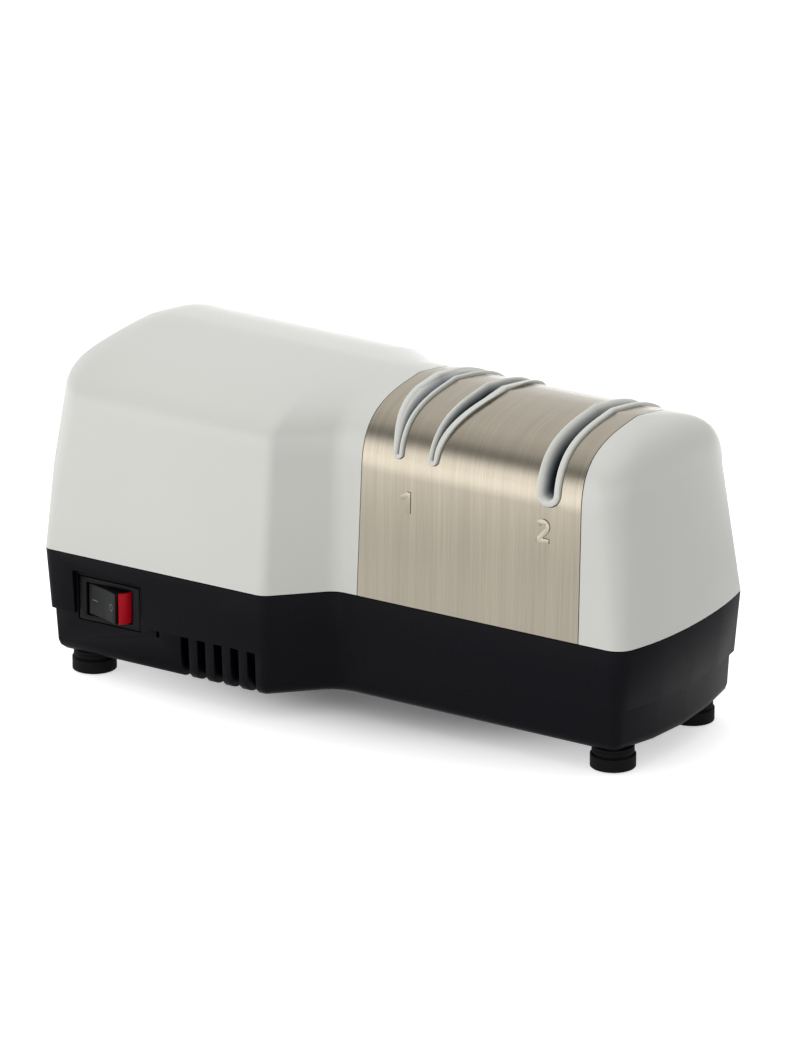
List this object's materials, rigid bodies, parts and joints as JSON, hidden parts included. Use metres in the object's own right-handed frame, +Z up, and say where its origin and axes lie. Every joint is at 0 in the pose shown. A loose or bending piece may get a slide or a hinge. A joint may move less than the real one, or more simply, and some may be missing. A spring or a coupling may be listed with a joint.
{
  "type": "electric knife sharpener",
  "caption": "Countertop electric knife sharpener with a motor housing, a steel-covered head with knife slots, a rocker switch and rubber feet.",
  "frame": {"origin": "on the resting surface under the middle of the body", "axes": "+X from the motor end to the head end, +Y towards the back, +Z up"},
  "size_m": [0.213, 0.1078, 0.1096],
  "materials": {
    "black_base": "fine matte texture",
    "pale_shell": "satin",
    "brushed_steel": "brushed from top to bottom",
    "foot_rubber": "matte",
    "fixing_steel": "turned",
    "switch_black": "smooth",
    "switch_red": "smooth",
    "terminal_brass": "bright",
    "lamination": "stacked sheet",
    "copper": "enamelled wire under tape",
    "zinc": "cast",
    "bronze": "sintered",
    "white_plastic": "moulded",
    "abrasive": "fine abrasive grain",
    "magnet": "sintered"
  },
  "bodies": {
    "housing": {"base_tray": "black_base", "top_housing": "pale_shell", "steel_cover": "brushed_steel", "slot_guide_left": "pale_shell", "slot_guide_right": "pale_shell", "slot_guide_fine": "pale_shell", "foot_front_left": "foot_rubber", "foot_front_right": "foot_rubber", "foot_back_left": "foot_rubber", "foot_back_right": "foot_rubber", "base_screw_1": "fixing_steel", "base_screw_2": "fixing_steel", "base_screw_3": "fixing_steel", "base_screw_4": "fixing_steel", "switch_housing": "switch_black", "switch_terminal_left": "terminal_brass", "switch_terminal_right": "terminal_brass", "cord_inlet_bush": "foot_rubber", "motor_stack": "lamination", "motor_coil": "copper", "motor_bridge_left": "zinc", "motor_bridge_right": "zinc", "motor_screw_front": "fixing_steel", "motor_screw_back": "fixing_steel", "bearing_left": "bronze", "bearing_right": "bronze", "bearing_outboard": "bronze", "shaft_pedestal": "zinc", "fine_carrier": "white_plastic", "filings_magnet": "magnet"},
    "rocker": {"switch_rocker": "switch_black", "rocker_red_flank": "switch_red"},
    "drive": {"motor_shaft": "fixing_steel", "motor_rotor": "lamination", "cooling_fan": "white_plastic", "drive_pin_left": "fixing_steel", "drive_pin_right": "fixing_steel", "disc_spring": "fixing_steel"},
    "left_disc": {"disc_left": "abrasive"},
    "right_disc": {"disc_right": "abrasive"},
    "fine_wheels": {"fine_axle": "fixing_steel", "fine_wheel_left": "abrasive", "fine_wheel_right": "abrasive"}
  },
  "joints": [
    {"name": "rocker_tilt", "type": "hinge", "parent": "housing", "child": "rocker", "pos_m": [-0.0803, -0.0481, 0.0275], "axis": [0, 0, 1], "range_deg": [0, 36]},
    {"name": "shaft_spin", "type": "hinge", "parent": "housing", "child": "drive", "pos_m": [0, 0, 0.07], "axis": [1, 0, 0], "continuous": true},
    {"name": "left_disc_slide", "type": "slide", "parent": "drive", "child": "left_disc", "axis": [1, 0, 0], "range_m": [0, 0.0012], "stiffness_N_per_m": 400, "springref_m": -0.003, "deforming": ["disc_spring"]},
    {"name": "right_disc_slide", "type": "slide", "parent": "drive", "child": "right_disc", "axis": [-1, 0, 0], "range_m": [0, 0.0012], "stiffness_N_per_m": 400, "springref_m": -0.003, "deforming": ["disc_spring"]},
    {"name": "fine_spin", "type": "hinge", "parent": "housing", "child": "fine_wheels", "pos_m": [0.0742, 0, 0.08], "axis": [1, 0, 0], "continuous": true}
  ]
}
